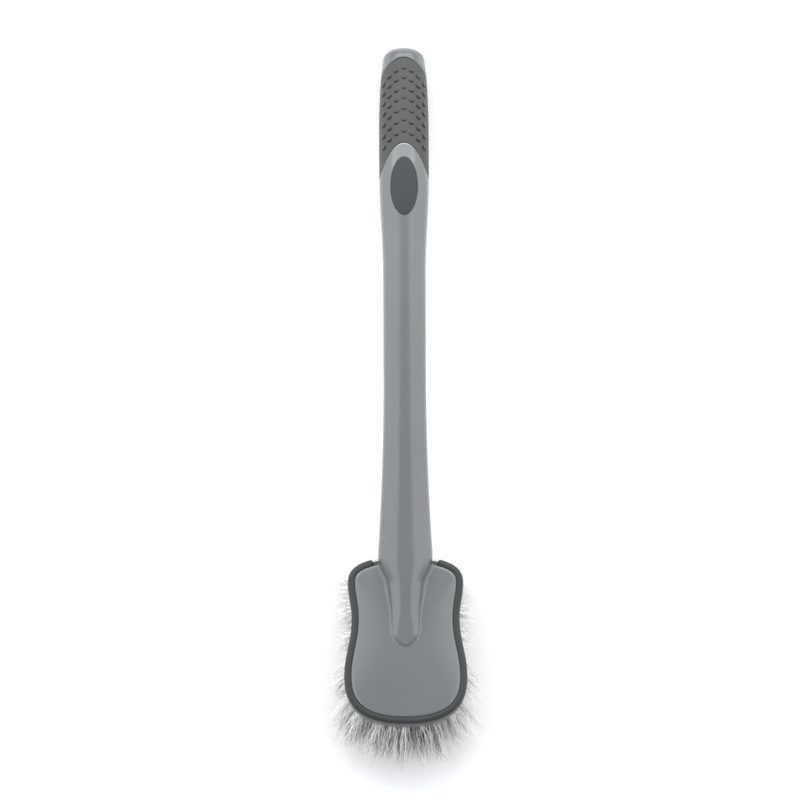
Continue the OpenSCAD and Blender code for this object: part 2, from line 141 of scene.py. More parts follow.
@dataclass(frozen=True)
class HeadOutline:
    """The head's outline in plan, waisted between two wider ends."""

    length: float = 118.5
    width: float = 86.2
    wide_y: float = 33.5
    waist: float = 75.6
    waist_y: float = 75.0
    shoulder: float = 80.8
    shoulder_y: float = 100.5
    front_flat: float = 34.0
    front_corner: float = 18.5
    side_bend: float = 16.0
    shoulder_bend: float = 9.0
    rear_corner: float = 11.0
    rear_flat: float = 30.0

    def curves(self) -> list[np.ndarray]:
        """The four curves of the right half, from the front's middle to the rear's middle."""
        w, n, s = self.width / 2, self.waist / 2, self.shoulder / 2
        return [
            np.array([(0, 0), (self.front_flat, 0), (w, self.wide_y - self.front_corner), (w, self.wide_y)]),
            np.array([(w, self.wide_y), (w, self.wide_y + self.side_bend),
                      (n, self.waist_y - self.side_bend), (n, self.waist_y)]),
            np.array([(n, self.waist_y), (n, self.waist_y + self.shoulder_bend),
                      (s, self.shoulder_y - self.shoulder_bend), (s, self.shoulder_y)]),
            np.array([(s, self.shoulder_y), (s, self.shoulder_y + self.rear_corner),
                      (self.rear_flat, self.length), (0, self.length)]),
        ]

    def half(self, inset: float, steps: int) -> np.ndarray:
        """Points of the right half, a distance inside the outline.

        Args:
            inset: Distance inside the outline.
            steps: Steps along each of the four curves.

        Returns:
            An array of points, four times steps plus one.
        """
        found = []
        for index, curve in enumerate(self.curves()):
            t = np.arange(steps + (index == 3)) / steps
            way = bezier_way(curve, t)
            found.append(bezier(curve, t) + inset * np.stack([-way[:, 1], way[:, 0]], -1))
        return np.concatenate(found)

    def ring(self, inset: float, steps: int) -> np.ndarray:
        """The whole outline at an inset, as a closed ring without a repeated point."""
        right = self.half(inset, steps)
        left = right[-2:0:-1] * (-1, 1)
        return np.concatenate([right, left])


@dataclass(frozen=True)
class HandleForm:
    """The handle's middle line and its sections, from the ridge on the head to its far end."""

    seat_z: float = 44.0
    ridge_y: float = 55.0
    ridge_z: float = 0.1
    rise_angle: float = 9.0
    rise_reach: float = 150.0
    end_y: float = 475.0
    end_z: float = 20.0
    drop_angle: float = 23.0
    drop_reach: float = 130.0
    ridge_tip_w: float = 18.6
    ridge_w: float = 26.6
    root_w: float = 38.4
    root_t: float = 28.0
    neck_w: float = 30.1
    neck_t: float = 27.0
    grip_w: float = 34.8
    grip_t: float = 32.0
    end_w: float = 30.2
    end_t: float = 29.0
    squareness: float = 2.4
    ridge_squareness: float = 2.8
    front_squareness: float = 3.0
    end_round: float = 9.0
    ridge_round: float = 13.0
    root_y: float = 118.9
    neck_run: float = 117.0
    swell_back: float = 160.0
    full_back: float = 94.0
    taper_back: float = 58.0
    flare: float = 15.0
    soft_flare: float = 19.0
    table: np.ndarray = field(init=False, repr=False)

    def __post_init__(self) -> None:
        """Tabulates the middle line: y, z and its unit direction."""
        start = np.array([self.ridge_y, self.seat_z + self.ridge_z])
        end = np.array([self.end_y, self.seat_z + self.end_z])
        rise, drop = math.radians(self.rise_angle), math.radians(self.drop_angle)
        line = np.array([
            start,
            start + self.rise_reach * np.array([math.cos(rise), math.sin(rise)]),
            end + self.drop_reach * np.array([-math.cos(drop), math.sin(drop)]),
            end,
        ])
        t = np.linspace(0, 1, 3001)
        object.__setattr__(self, "table", np.concatenate([bezier(line, t), bezier_way(line, t)], 1))

    @property
    def round_y(self) -> float:
        """Where the rounding of the handle's end starts."""
        return self.end_y - self.end_round

    def line(self, y: np.ndarray) -> tuple[np.ndarray, np.ndarray, np.ndarray]:
        """The middle line's height and its direction's y and z at distances y."""
        col = self.table
        return tuple(np.interp(y, col[:, 0], col[:, k]) for k in (1, 2, 3))

    def along(self, y: np.ndarray,
              sizes: tuple[np.ndarray | float, float, float, float, float]) -> np.ndarray:
        """A size of the section at distances y, from its values at five named places."""
        ridge, root, neck, grip, tail = sizes
        swell_y, full_y = self.end_y - self.swell_back, self.end_y - self.full_back
        taper_y = self.end_y - self.taper_back
        near = ridge + (root - ridge) * ease((y - self.root_y + self.soft_flare) / self.soft_flare)
        share = np.clip((y - self.root_y) / self.neck_run, 0, 1)
        slim = neck + (root - neck) * (1 - share) ** 1.8
        full = neck + (grip - neck) * ease((y - swell_y) / (full_y - swell_y))
        last = grip + (tail - grip) * np.clip((y - taper_y) / (self.round_y - taper_y), 0, 1) ** 1.8
        return np.where(y < self.root_y, near,
                        np.where(y < self.root_y + self.neck_run, slim, np.where(y < taper_y, full, last)))

    def half_sizes(self, y: np.ndarray) -> tuple[np.ndarray, np.ndarray]:
        """Half the width and half the depth of the section at distances y, rounded at the far end."""
        share = (y - self.ridge_y) / (self.root_y - self.flare - self.ridge_y)
        ridge = self.ridge_tip_w + (self.ridge_w - self.ridge_tip_w) * share
        w = self.along(y, (ridge, self.root_w, self.neck_w, self.grip_w, self.end_w)) / 2
        d = self.along(y, (self.root_t, self.root_t, self.neck_t, self.grip_t, self.end_t)) / 2
        tail = np.sqrt(np.clip(1 - (np.maximum(y - self.round_y, 0) / self.end_round) ** 2, 0, 1))
        return w * tail, d * tail

    def point(self, y: np.ndarray, turn: np.ndarray, grow: np.ndarray | float = 0.0) -> np.ndarray:
        """Points on the handle's surface.

        Args:
            y: Distances along the middle line.
            turn: Degrees round it, from the right side over the top.
            grow: Distance outwards from the surface.

        Returns:
            Points in the head's frame, in the last axis of the array.
        """
        y, turn, grow = np.broadcast_arrays(np.asarray(y, float), turn, grow)
        z, way_y, way_z = self.line(y)
        w, d = self.half_sizes(y)
        e, a = 2 / self.squareness, np.radians(turn)
        cos_a = np.where(np.abs(np.cos(a)) < 1e-9, 0, np.cos(a))
        sin_a = np.where(np.abs(np.sin(a)) < 1e-9, 0, np.sin(a))
        across = np.maximum(w + grow, 0) * signed_power(cos_a, e)
        up = np.maximum(d + grow, 0) * signed_power(sin_a, e)
        return np.stack([across, y - up * way_z, z + up * way_y], -1)

    def over(self, x: np.ndarray, y: np.ndarray, grow: np.ndarray | float) -> np.ndarray:
        """Points of the handle's upper side at distances x across it and y along its line."""
        w = self.half_sizes(y)[0] + grow
        share = np.clip(np.abs(x) / w, 0, 1)
        turn = np.degrees(np.arccos(np.sign(x) * share ** (self.squareness / 2)))
        return self.point(y, turn, grow)

    def field(self, p: np.ndarray) -> np.ndarray:
        """Signed distance, roughly, from the handle's surface, with the ridge's round front."""
        x, y, z = p[:, 0], p[:, 1], p[:, 2]
        s = y.copy()
        for _ in range(5):
            cz, way_y, way_z = self.line(s)
            s = s + ((y - s) * way_y + (z - cz) * way_z) * way_y
        cz, way_y, way_z = self.line(s)
        up = -(y - s) * way_z + (z - cz) * way_y
        w, d = self.half_sizes(s)
        n = self.ridge_squareness + (self.squareness - self.ridge_squareness) * ease((s - 102) / 18)
        n = n + self.front_squareness * (1 - ease((s - 57) / 28))
        level = ((np.abs(x) / w) ** n + (np.abs(up) / d) ** n) ** (1 / n)
        reach = np.hypot(x, up)
        tube = reach * (1 - 1 / np.maximum(level, 1e-6))
        ahead = np.maximum(self.ridge_y + self.ridge_round - y, 0) / self.ridge_round
        front = (np.hypot(x / w, ahead) - 1) * w
        return smooth_highest(tube, front, 0.5)


OUTLINE = HeadOutline()
HANDLE = HandleForm()


@dataclass(frozen=True)
class SleeveEdges:
    """Where the soft sleeve starts and ends round the handle."""

    thick: float = 2.2
    start: float = HANDLE.end_y - 72.6
    start_lean: float = 22.0
    end: float = HANDLE.end_y - 11.6
    end_lean: float = 9.5
    under: float = 0.4

    def y(self, turn: np.ndarray, share: np.ndarray | float) -> np.ndarray:
        """Distance along the handle at a turn, with share 0 at the near edge and 1 at the far one."""
        a = np.radians(turn)
        level = 1 - np.abs(np.cos(a)) ** (4 / HANDLE.squareness)
        lean = np.where(np.sin(a) >= -1e-9, 1 - level, 1 + self.under * level)
        near = self.start - self.start_lean * lean
        return near + (self.end - self.end_lean * lean - near) * share


SLEEVE = SleeveEdges()


# ------------------------------------------------------------------ mesh helpers


def grid_bmesh(places: np.ndarray, measure: tuple[str, np.ndarray] | None = None) -> bmesh.types.BMesh:
    """A grid bent so that its points stand at the given places.

    Args:
        places: Points as rows by columns by three.
        measure: A name and a value for each point, kept with it as an attribute.

    Returns:
        The bent grid, with the points that fall together merged.
    """
    rows, cols = places.shape[:2]
    bm = bmesh.new()
    bmesh.ops.create_grid(bm, x_segments=cols - 1, y_segments=rows - 1, size=1.0)
    layer = bm.verts.layers.float.new(measure[0]) if measure else None
    for v in bm.verts:
        col = round((v.co.x + 1) / 2 * (cols - 1))
        row = round((v.co.y + 1) / 2 * (rows - 1))
        v.co = places[row, col]
        if measure:
            v[layer] = measure[1][row, col]
    bmesh.ops.remove_doubles(bm, verts=bm.verts, dist=1e-4)
    bmesh.ops.recalc_face_normals(bm, faces=bm.faces)
    return bm


def lay_down(bm: bmesh.types.BMesh) -> None:
    """Lays a mesh of the head's frame on the floor, in metres."""
    laid = POSE.laid(np.array([v.co for v in bm.verts], float).reshape(-1, 3))
    for v, p in zip(bm.verts, laid):
        v.co = p


def finish_piece(name: str, bm: bmesh.types.BMesh, material: bpy.types.Material,
                 stands_for: tuple[str, ...], sharp: float = 50.0) -> bpy.types.Object:
    """Makes a piece of a finished mesh and hands it to the frame.

    Args:
        name: The piece's name.
        bm: Its mesh in metres, which is freed.
        material: Its material.
        stands_for: The CAD nodes that it is shown for.
        sharp: Edges sharper than this many degrees stay sharp.

    Returns:
        The new object.
    """
    mesh = bpy.data.meshes.new(name)
    bm.to_mesh(mesh)
    bm.free()
    mesh.polygons.foreach_set("use_smooth", np.ones(len(mesh.polygons), bool))
    mesh.set_sharp_from_angle(angle=math.radians(sharp))
    mesh.materials.append(material)
    piece = bpy.data.objects.new(name, mesh)
    bpy.context.scene.collection.objects.link(piece)
    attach(piece, "root")
    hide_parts(*stands_for)
    LOG.info("%s: %d faces, for %s", name, len(mesh.polygons), ", ".join(stands_for))
    return piece


# ------------------------------------------------------------------ finishes


class ShaderGroups:
    """Effects that several finishes share, each built once as a node group."""

    def __init__(self) -> None:
        """Builds the groups."""
        self.mottle = self._mottle()
        self.grain = self._grain()
        self.wear = self._wear()

    @staticmethod
    def _new(name: str, inputs: dict[str, float], outputs: dict[str, str]) -> bpy.types.NodeTree:
        """A new group with float inputs and the named kinds of output."""
        tree = bpy.data.node_groups.new(name, "ShaderNodeTree")
        for key, value in inputs.items():
            tree.interface.new_socket(
                key, in_out="INPUT", socket_type="NodeSocketFloat").default_value = value
        for key, kind in outputs.items():
            tree.interface.new_socket(key, in_out="OUTPUT", socket_type=kind)
        tree.nodes.new("NodeGroupInput")
        tree.nodes.new("NodeGroupOutput")
        return tree

    @staticmethod
    def _ends(tree: bpy.types.NodeTree) -> tuple[bpy.types.Node, bpy.types.Node]:
        """A group's input and output nodes."""
        kinds = {n.bl_idname: n for n in tree.nodes}
        return kinds["NodeGroupInput"], kinds["NodeGroupOutput"]

    def _mottle(self) -> bpy.types.NodeTree:
        """Slow, cloudy differences of tone: a mask from 0 to 1."""
        tree = self._new("slow_mottle", {"Scale": 20.0, "Contrast": 1.0}, {"Mask": "NodeSocketFloat"})
        source, sink = self._ends(tree)
        coord = tree.nodes.new("ShaderNodeTexCoord")
        noise = tree.nodes.new("ShaderNodeTexNoise")
        noise.inputs["Detail"].default_value = 4.0
        noise.inputs["Roughness"].default_value = 0.55
        spread = tree.nodes.new("ShaderNodeMath")
        spread.operation = "MULTIPLY_ADD"
        shift = tree.nodes.new("ShaderNodeMath")
        shift.operation = "SUBTRACT"
        shift.inputs[1].default_value = 0.5
        spread.inputs[2].default_value = 0.5
        spread.use_clamp = True
        tree.links.new(coord.outputs["Object"], noise.inputs["Vector"])
        tree.links.new(source.outputs["Scale"], noise.inputs["Scale"])
        tree.links.new(noise.outputs["Fac"], shift.inputs[0])
        tree.links.new(shift.outputs[0], spread.inputs[0])
        tree.links.new(source.outputs["Contrast"], spread.inputs[1])
        tree.links.new(spread.outputs[0], sink.inputs["Mask"])
        return tree

    def _grain(self) -> bpy.types.NodeTree:
        """The fine texture of a moulded skin, as a bumped normal."""
        tree = self._new("moulded_grain", {"Scale": 900.0, "Strength": 0.1, "Depth": 0.0001},
                         {"Normal": "NodeSocketVector"})
        source, sink = self._ends(tree)
        coord = tree.nodes.new("ShaderNodeTexCoord")
        noise = tree.nodes.new("ShaderNodeTexNoise")
        noise.inputs["Detail"].default_value = 3.0
        bump = tree.nodes.new("ShaderNodeBump")
        tree.links.new(coord.outputs["Object"], noise.inputs["Vector"])
        tree.links.new(source.outputs["Scale"], noise.inputs["Scale"])
        tree.links.new(noise.outputs["Fac"], bump.inputs["Height"])
        tree.links.new(source.outputs["Strength"], bump.inputs["Strength"])
        tree.links.new(source.outputs["Depth"], bump.inputs["Distance"])
        tree.links.new(bump.outputs["Normal"], sink.inputs["Normal"])
        return tree

    def _wear(self) -> bpy.types.NodeTree:
        """Faint fine rub marks, as a mask from 0 to 1."""
        tree = self._new("rub_marks", {"Scale": 60.0, "Stretch": 12.0}, {"Mask": "NodeSocketFloat"})
        source, sink = self._ends(tree)
        coord = tree.nodes.new("ShaderNodeTexCoord")
        parts = tree.nodes.new("ShaderNodeSeparateXYZ")
        squash = tree.nodes.new("ShaderNodeMath")
        squash.operation = "DIVIDE"
        joined = tree.nodes.new("ShaderNodeCombineXYZ")
        noise = tree.nodes.new("ShaderNodeTexNoise")
        noise.inputs["Detail"].default_value = 6.0
        ramp = tree.nodes.new("ShaderNodeMapRange")
        ramp.inputs["From Min"].default_value = 0.52
        ramp.inputs["From Max"].default_value = 0.78
        tree.links.new(coord.outputs["Object"], parts.inputs[0])
        tree.links.new(parts.outputs["X"], joined.inputs["X"])
        tree.links.new(parts.outputs["Y"], squash.inputs[0])
        tree.links.new(source.outputs["Stretch"], squash.inputs[1])
        tree.links.new(squash.outputs[0], joined.inputs["Y"])
        tree.links.new(parts.outputs["Z"], joined.inputs["Z"])
        tree.links.new(joined.outputs[0], noise.inputs["Vector"])
        tree.links.new(source.outputs["Scale"], noise.inputs["Scale"])
        tree.links.new(noise.outputs["Fac"], ramp.inputs["Value"])
        tree.links.new(ramp.outputs["Result"], sink.inputs["Mask"])
        return tree


@dataclass(frozen=True)
class MouldedFinish:
    """A moulded plastic or rubber: a mottled colour, a fine grain and faint rub marks, and, where its
    switches are set, painted shade in grooves and a painted highlight along a bevel.
    """

    name: str
    dark: tuple[float, float, float]
    light: tuple[float, float, float]
    smooth: float
    rough: float
    ior: float = 1.5
    grain_scale: float = 900.0
    grain_strength: float = 0.1
    grain_depth: float = 0.0001
    mottle_scale: float = 14.0
    rub_scale: float = 60.0
    metal: float = 0.0
    coat: float = 0.0
    sheen: float = 0.0
    paints_groove_shade: bool = False
    paints_edge_highlight: bool = False

    def build(self, groups: ShaderGroups) -> bpy.types.Material:
        """Makes the material.

        Args:
            groups: The shared shader groups.

        Returns:
            The new material.
        """
        material = bpy.data.materials.new(self.name)
        material.use_nodes = True
        tree = material.node_tree
        shader = tree.nodes["Principled BSDF"]
        shader.inputs["IOR"].default_value = self.ior
        shader.inputs["Metallic"].default_value = self.metal
        shader.inputs["Coat Weight"].default_value = self.coat
        shader.inputs["Coat Roughness"].default_value = 0.12
        shader.inputs["Sheen Weight"].default_value = self.sheen
        shader.inputs["Sheen Roughness"].default_value = 0.5

        def placed(group: bpy.types.NodeTree, **values: float) -> bpy.types.Node:
            """A group node with its own input values."""
            node = tree.nodes.new("ShaderNodeGroup")
            node.node_tree = group
            for key, value in values.items():
                node.inputs[key].default_value = value
            return node

        mottle = placed(groups.mottle, Scale=self.mottle_scale, Contrast=1.6)
        rubs = placed(groups.wear, Scale=self.rub_scale, Stretch=12.0)
        grain = placed(groups.grain, Scale=self.grain_scale, Strength=self.grain_strength,
                       Depth=self.grain_depth)
        mix = tree.nodes.new("ShaderNodeMix")
        mix.data_type = "RGBA"
        mix.inputs["A"].default_value = (*self.dark, 1)
        mix.inputs["B"].default_value = (*self.light, 1)
        rough = tree.nodes.new("ShaderNodeMapRange")
        rough.inputs["To Min"].default_value = self.smooth
        rough.inputs["To Max"].default_value = self.rough
        tree.links.new(mottle.outputs["Mask"], mix.inputs["Factor"])
        tree.links.new(mix.outputs["Result"], shader.inputs["Base Color"])
        if self.paints_groove_shade:
            # Painted shade: near-black in the grooves before the grip's scales and along the sleeve's far
            # edge.
            self._painted_light_tone(tree, mix, "painted_groove_shade", (0.006, 0.007, 0.007))
        if self.paints_edge_highlight:
            # Painted highlight: a pale line along the upper shell's bevel just before the sleeve.
            self._painted_light_tone(tree, mix, "edge", (0.4, 0.42, 0.42))
        tree.links.new(rubs.outputs["Mask"], rough.inputs["Value"])
        tree.links.new(rough.outputs["Result"], shader.inputs["Roughness"])
        tree.links.new(grain.outputs["Normal"], shader.inputs["Normal"])
        return material

    @staticmethod
    def _painted_light_tone(tree: bpy.types.NodeTree, plain: bpy.types.Node, measure: str,
               tone: tuple[float, float, float]) -> None:
        """Paints shade or a highlight into the base colour where the mesh carries a measure.

        Args:
            tree: The material's nodes.
            plain: The node whose result is the plain colour.
            measure: The name of the mesh's attribute, from 0 to 1.
            tone: The painted colour where the attribute is 1.
        """
        marked = tree.nodes.new("ShaderNodeAttribute")
        marked.attribute_name = measure
        turned = tree.nodes.new("ShaderNodeMix")
        turned.data_type = "RGBA"
        turned.inputs["B"].default_value = (*tone, 1)
        tree.links.new(marked.outputs["Fac"], turned.inputs["Factor"])
        tree.links.new(plain.outputs["Result"], turned.inputs["A"])
        tree.links.new(turned.outputs["Result"], tree.nodes["Principled BSDF"].inputs["Base Color"])


@dataclass(frozen=True)
class BristleFinish:
    """Crimped filaments: each has its own grey, turned part way to a paler tone over its outer half."""

    name: str = "bristle_filament"
    deep: tuple[float, float, float] = (0.025, 0.026, 0.025)
    pale: tuple[float, float, float] = (0.95, 0.95, 0.94)
    tip: tuple[float, float, float] = (0.97, 0.97, 0.96)

    def build(self) -> bpy.types.Material:
        """Makes the material."""
        material = bpy.data.materials.new(self.name)
        material.use_nodes = True
        tree = material.node_tree
        shader = tree.nodes["Principled BSDF"]
        shader.inputs["Roughness"].default_value = 0.42
        shader.inputs["IOR"].default_value = 1.5
        shade = tree.nodes.new("ShaderNodeAttribute")
        shade.attribute_name = "shade"
        reach = tree.nodes.new("ShaderNodeAttribute")
        reach.attribute_name = "reach"
        body = tree.nodes.new("ShaderNodeMix")
        body.data_type = "RGBA"
        body.inputs["A"].default_value = (*self.deep, 1)
        body.inputs["B"].default_value = (*self.pale, 1)
        ends = tree.nodes.new("ShaderNodeMapRange")
        ends.inputs["From Min"].default_value = 0.5
        ends.inputs["From Max"].default_value = 1.0
        ends.inputs["To Max"].default_value = 0.45
        whole = tree.nodes.new("ShaderNodeMix")
        whole.data_type = "RGBA"
        whole.inputs["B"].default_value = (*self.tip, 1)
        tree.links.new(shade.outputs["Fac"], body.inputs["Factor"])
        tree.links.new(reach.outputs["Fac"], ends.inputs["Value"])
        tree.links.new(ends.outputs["Result"], whole.inputs["Factor"])
        tree.links.new(body.outputs["Result"], whole.inputs["A"])
        tree.links.new(whole.outputs["Result"], shader.inputs["Base Color"])
        return material


# The grey plastic paints a pale highlight along the upper shell's bevel before the sleeve.
GREY_PLASTIC = MouldedFinish(
    "grey_moulded_plastic", (0.113, 0.124, 0.127), (0.131, 0.142, 0.146), 0.2, 0.3,
    ior=1.6, grain_scale=260.0, grain_strength=0.06, grain_depth=0.00015, coat=0.15, paints_edge_highlight=True)
# The grip rubber paints near-black shade into its scale grooves and the groove at its far edge.
GRIP_RUBBER = MouldedFinish(
    "soft_grip_rubber", (0.048, 0.053, 0.051), (0.062, 0.067, 0.064), 0.6, 0.7,
    ior=1.45, grain_scale=1500.0, grain_strength=0.25, sheen=0.05, paints_groove_shade=True)
PAD_RUBBER = MouldedFinish(
    "thumb_pad_rubber", (0.022, 0.029, 0.033), (0.031, 0.037, 0.044), 0.5, 0.6, ior=1.42,
    grain_scale=1800.0, grain_strength=0.2)
BUMPER_RUBBER = MouldedFinish(
    "bumper_rubber", (0.02, 0.023, 0.023), (0.03, 0.033, 0.033), 0.42, 0.52, ior=1.45,
    grain_scale=1300.0, grain_strength=0.2)
BLOCK_PLASTIC = MouldedFinish(
    "block_plastic", (0.115, 0.122, 0.122), (0.135, 0.142, 0.142), 0.38, 0.5,
    grain_scale=1200.0, grain_strength=0.15)
ANCHOR_WIRE = MouldedFinish(
    "anchor_wire", (0.56, 0.54, 0.49), (0.66, 0.64, 0.59), 0.25, 0.45,
    grain_scale=2500.0, grain_strength=0.15, metal=1.0)
FLOOR_PAPER = MouldedFinish(
    "floor_paper", (0.93, 0.93, 0.935), (0.945, 0.945, 0.95), 0.7, 0.8,
    grain_scale=300.0, grain_strength=0.02, mottle_scale=2.0)


# ------------------------------------------------------------------ the moulded head and handle


@dataclass
class HeadMoulding:
    """The domed cover with the handle's ridge growing out of it in one smooth moulding."""

    skirt: float = 4.8
    rim_z: float = 55.1
    rise: float = 2.0
    under_z: float = 44.3
    rim_round: float = 1.9
    voxel: float = 0.85
    joint_y: float = 122.0

    def _dome(self, x: np.ndarray, y: np.ndarray) -> np.ndarray:
        """Height of the domed plate."""
        ring = OUTLINE.ring(self.skirt + 0.7, 60) - (0, OUTLINE.length / 2)
        turn, size = np.arctan2(ring[:, 1], ring[:, 0]), np.hypot(ring[:, 0], ring[:, 1])
        order = np.argsort(turn)
        off = y - OUTLINE.length / 2
        limit = np.interp(np.arctan2(off, x), turn[order], size[order], period=2 * math.pi)
        return self.rim_z + self.rise * (1 - (np.hypot(x, off) / limit) ** 2)

    def _side(self, x: np.ndarray, y: np.ndarray) -> np.ndarray:
        """Signed distance from the cover's side wall in plan, positive outside."""
        ring = OUTLINE.ring(self.skirt, 24)
        nearest, inside = np.full(len(x), 1e9), np.zeros(len(x), bool)
        for (ax, ay), (bx, by) in zip(ring, np.roll(ring, -1, 0)):
            ex, ey = bx - ax, by - ay
            t = np.clip(((x - ax) * ex + (y - ay) * ey) / (ex * ex + ey * ey), 0, 1)
            nearest = np.minimum(nearest, np.hypot(x - ax - t * ex, y - ay - t * ey))
            crosses = (ay > y) != (by > y)
            inside ^= crosses & (x < ex * (y - ay) / (ey if abs(ey) > 1e-12 else 1e-12) + ax)
        return np.where(inside, -nearest, nearest)

    def shape(self, p: np.ndarray) -> np.ndarray:
        """Signed distance, roughly, from the whole moulding's surface."""
        x, y, z = p[:, 0], p[:, 1], p[:, 2]
        plate = smooth_highest(self._side(x, y), z - self._dome(x, y), self.rim_round)
        plate = smooth_highest(plate, self.under_z - z, 0.6)
        reach = 1.3 + 3.7 * ease((y - 72) / 42)
        return smooth_lowest(plate, HANDLE.field(p), reach)

    def _rough(self) -> bmesh.types.BMesh:
        """The plate and the start of the handle as two plain overlapping solids."""
        bm = bmesh.new()
        ring = OUTLINE.ring(self.skirt, 24)
        made = bmesh.ops.create_circle(bm, cap_ends=True, segments=len(ring), radius=1.0)
        for v, (x, y) in zip(made["verts"], ring):
            v.co = (x, y, self.under_z)
        grown = bmesh.ops.extrude_face_region(bm, geom=bm.faces[:])
        bmesh.ops.translate(bm, verts=[g for g in grown["geom"] if isinstance(g, bmesh.types.BMVert)],
                            vec=(0, 0, 12.4))
        turns = np.linspace(0, 360, 49)
        front = HANDLE.ridge_y + HANDLE.ridge_round * (1 - np.cos(np.linspace(0.02, math.pi / 2, 9)))
        ys = np.concatenate([front, np.linspace(front[-1] + 3, self.joint_y + 4, 16)])
        rings = [HANDLE.point(y, turns, 0) for y in ys]
        for ring_points, y in zip(rings, ys):
            ahead = max(HANDLE.ridge_y + HANDLE.ridge_round - y, 0) / HANDLE.ridge_round
            ring_points[:, 0] *= math.sqrt(max(1 - ahead**2, 0))
        ends = [np.tile(rings[k].mean(0), (len(turns), 1)) for k in (0, -1)]
        stub = grid_bmesh(np.array([ends[0], *rings, ends[1]]))
        whole = bpy.data.meshes.new("stub")
        stub.to_mesh(whole)
        stub.free()
        bm.from_mesh(whole)
        bpy.data.meshes.remove(whole)
        bmesh.ops.recalc_face_normals(bm, faces=bm.faces)
        return bm

    def build(self, material: bpy.types.Material) -> bpy.types.Object:
        """Builds the moulding and trims it where the two handle shells take over."""
        rough = bpy.data.meshes.new("rough_moulding")
        bm = self._rough()
        bm.to_mesh(rough)
        bm.free()
        holder = bpy.data.objects.new("rough_moulding", rough)
        bpy.context.scene.collection.objects.link(holder)
        remesh = holder.modifiers.new("one_skin", "REMESH")
        remesh.mode, remesh.voxel_size = "VOXEL", self.voxel
        skin = bpy.data.meshes.new_from_object(holder.evaluated_get(bpy.context.evaluated_depsgraph_get()))
        bpy.data.objects.remove(holder)
        bpy.data.meshes.remove(rough)
        p = np.zeros(len(skin.vertices) * 3)
        skin.vertices.foreach_get("co", p)
        p = self._settled(p.reshape(-1, 3))
        skin.vertices.foreach_set("co", p.ravel())
        bm = bmesh.new()
        bm.from_mesh(skin)
        bpy.data.meshes.remove(skin)
        cz, way_y, way_z = (float(k) for k in HANDLE.line(np.array(self.joint_y)))
        bmesh.ops.bisect_plane(bm, geom=bm.verts[:] + bm.edges[:] + bm.faces[:], dist=1e-4,
                               plane_co=(0, self.joint_y, cz), plane_no=(0, way_y, way_z), clear_outer=True)
        rim = [e for e in bm.edges if e.is_boundary]
        bmesh.ops.holes_fill(bm, edges=rim, sides=0)
        lay_down(bm)
        return finish_piece("head_moulding", bm, material, ("head_cover",))

    def _settled(self, p: np.ndarray) -> np.ndarray:
        """Points moved onto the moulding's true surface."""
        for _ in range(7):
            value = self.shape(p)
            slope = np.stack([(self.shape(p + h) - self.shape(p - h)) / 0.08
                              for h in np.eye(3) * 0.04], -1)
            size = np.maximum((slope**2).sum(1), 0.05)
            step = np.clip(value / size, -0.8, 0.8)[:, None] * slope
            step[p[:, 1] > self.joint_y + 2.5] = 0
            p = p - step
        return p


